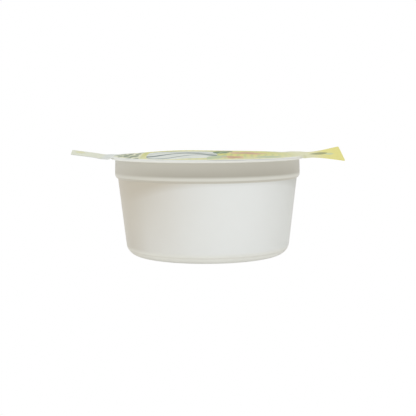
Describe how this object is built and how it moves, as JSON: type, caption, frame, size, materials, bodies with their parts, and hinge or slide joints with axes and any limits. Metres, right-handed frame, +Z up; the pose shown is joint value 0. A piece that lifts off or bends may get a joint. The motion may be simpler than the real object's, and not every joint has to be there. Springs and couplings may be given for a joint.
{
  "type": "spread portion cup",
  "caption": "Sealed single-serve cup of spread: a round tapered white cup with a collar and flange, closed by a printed foil lid with two pull tabs.",
  "frame": {"origin": "middle of the cup's base, on the surface it stands on, on the cup's axis", "axes": "+Z up along the cup's axis, +X towards the pull tab with the twisted end, -Y towards the viewer"},
  "size_m": [0.0851, 0.0606, 0.033],
  "materials": {
    "cup_plastic": "satin white moulded plastic",
    "lid_foil": "thin foil printed in yellow, green, white and orange, satin varnish"
  },
  "bodies": {
    "root": {"cup": "cup_plastic", "lid": "lid_foil"}
  },
  "joints": []
}
